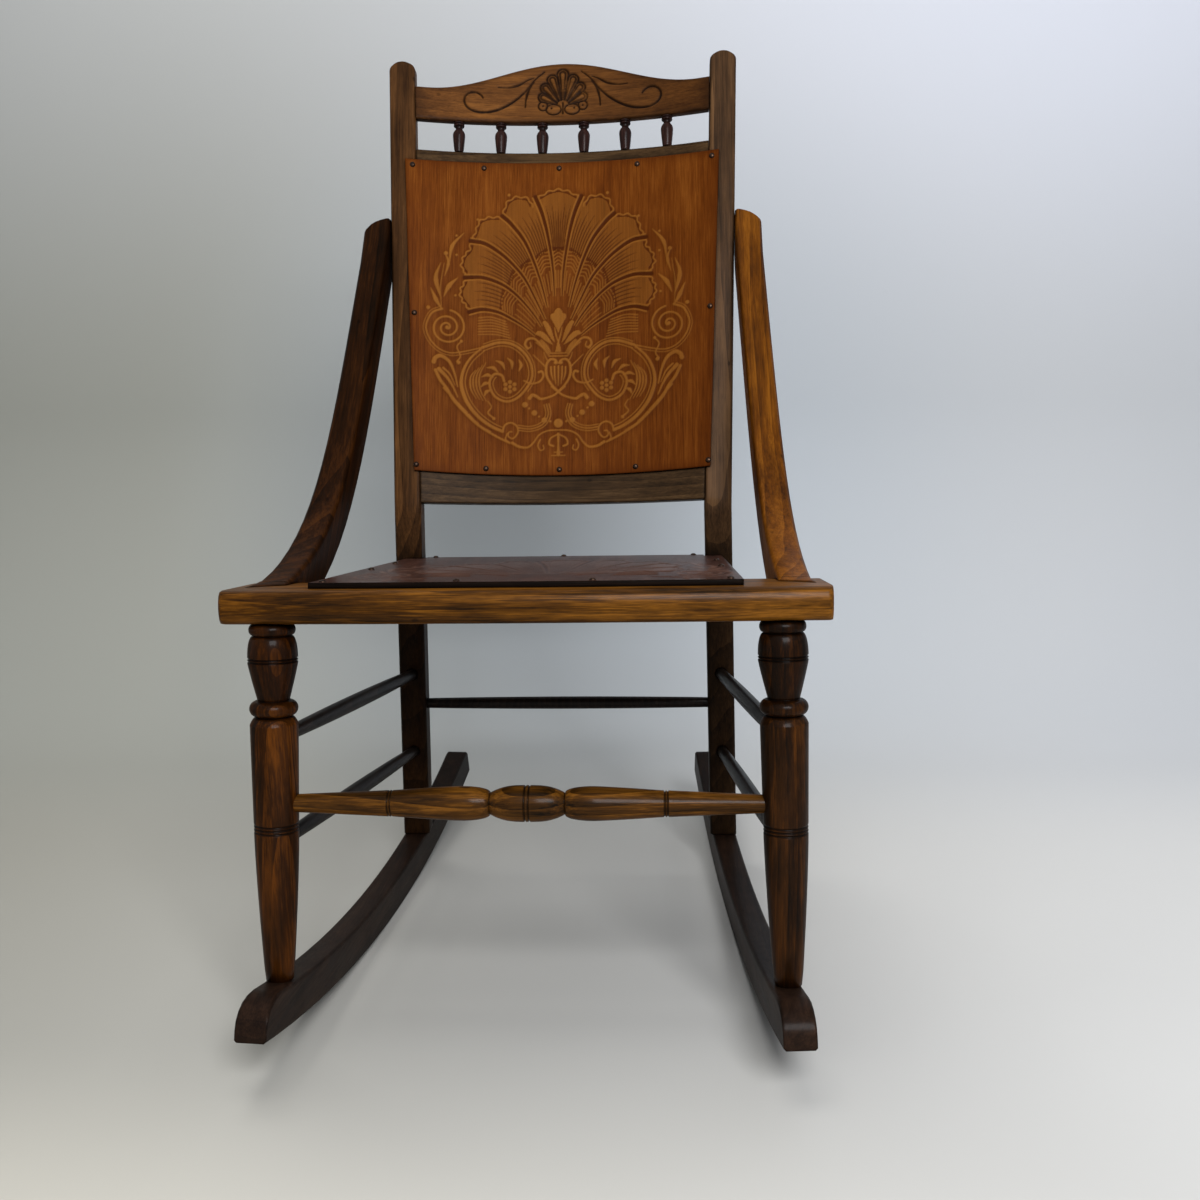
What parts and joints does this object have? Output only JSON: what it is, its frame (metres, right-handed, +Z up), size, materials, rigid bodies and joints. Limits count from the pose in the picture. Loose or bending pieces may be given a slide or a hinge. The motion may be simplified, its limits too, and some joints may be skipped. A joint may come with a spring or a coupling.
{
  "type": "pressed back rocking chair",
  "caption": "Wooden rocking chair with a pressed, hollow back panel under a carved crest and turned spindles, swept arms, turned front legs and a dished seat.",
  "frame": {"origin": "on the floor, under the middle of the chair's bounding box, half way along the rockers", "axes": "+Z up; the chair faces -Y, so +Y is its back; +X is the viewer's right, seen from the front"},
  "size_m": [0.52, 0.7058, 0.9781],
  "materials": {
    "post_wood": "worn dark varnish",
    "crest_wood": "golden brown varnish, darkened in the carving",
    "spindle_wood": "dark varnish",
    "back_rail_wood": "worn brown varnish",
    "back_panel_ply": "orange brown varnish over a pressed pattern",
    "seat_panel_ply": "dark reddish varnish",
    "seat_rail_wood": "golden brown varnish, worn bright on the front",
    "arm_wood": "brown varnish",
    "leg_wood": "dark brown varnish",
    "front_stretcher_wood": "golden brown varnish",
    "stretcher_wood": "near black varnish",
    "rocker_wood": "dark reddish brown varnish",
    "tack_bronze": "dark bronze"
  },
  "bodies": {
    "root": {"back_post_left": "post_wood", "back_post_right": "post_wood", "crest_rail": "crest_wood", "upper_back_rail": "back_rail_wood", "lower_back_rail": "back_rail_wood", "back_spindle_1": "spindle_wood", "back_spindle_2": "spindle_wood", "back_spindle_3": "spindle_wood", "back_spindle_4": "spindle_wood", "back_spindle_5": "spindle_wood", "back_spindle_6": "spindle_wood", "back_panel": "back_panel_ply", "seat_front_rail": "seat_rail_wood", "seat_side_rail_left": "seat_rail_wood", "seat_side_rail_right": "seat_rail_wood", "seat_rear_rail": "seat_rail_wood", "seat_panel": "seat_panel_ply", "arm_left": "arm_wood", "arm_right": "arm_wood", "front_leg_left": "leg_wood", "front_leg_right": "leg_wood", "front_stretcher": "front_stretcher_wood", "side_stretcher_upper_left": "stretcher_wood", "side_stretcher_upper_right": "stretcher_wood", "side_stretcher_lower_left": "stretcher_wood", "side_stretcher_lower_right": "stretcher_wood", "rear_stretcher": "stretcher_wood", "rocker_left": "rocker_wood", "rocker_right": "rocker_wood", "back_tack_1": "tack_bronze", "back_tack_2": "tack_bronze", "back_tack_3": "tack_bronze", "back_tack_4": "tack_bronze", "back_tack_5": "tack_bronze", "back_tack_6": "tack_bronze", "back_tack_7": "tack_bronze", "back_tack_8": "tack_bronze", "back_tack_9": "tack_bronze", "back_tack_10": "tack_bronze", "back_tack_11": "tack_bronze", "back_tack_12": "tack_bronze", "seat_tack_1": "tack_bronze", "seat_tack_2": "tack_bronze", "seat_tack_3": "tack_bronze", "seat_tack_4": "tack_bronze", "seat_tack_5": "tack_bronze", "seat_tack_6": "tack_bronze", "seat_tack_7": "tack_bronze", "seat_tack_8": "tack_bronze", "seat_tack_9": "tack_bronze", "seat_tack_10": "tack_bronze", "seat_tack_11": "tack_bronze"}
  },
  "joints": []
}
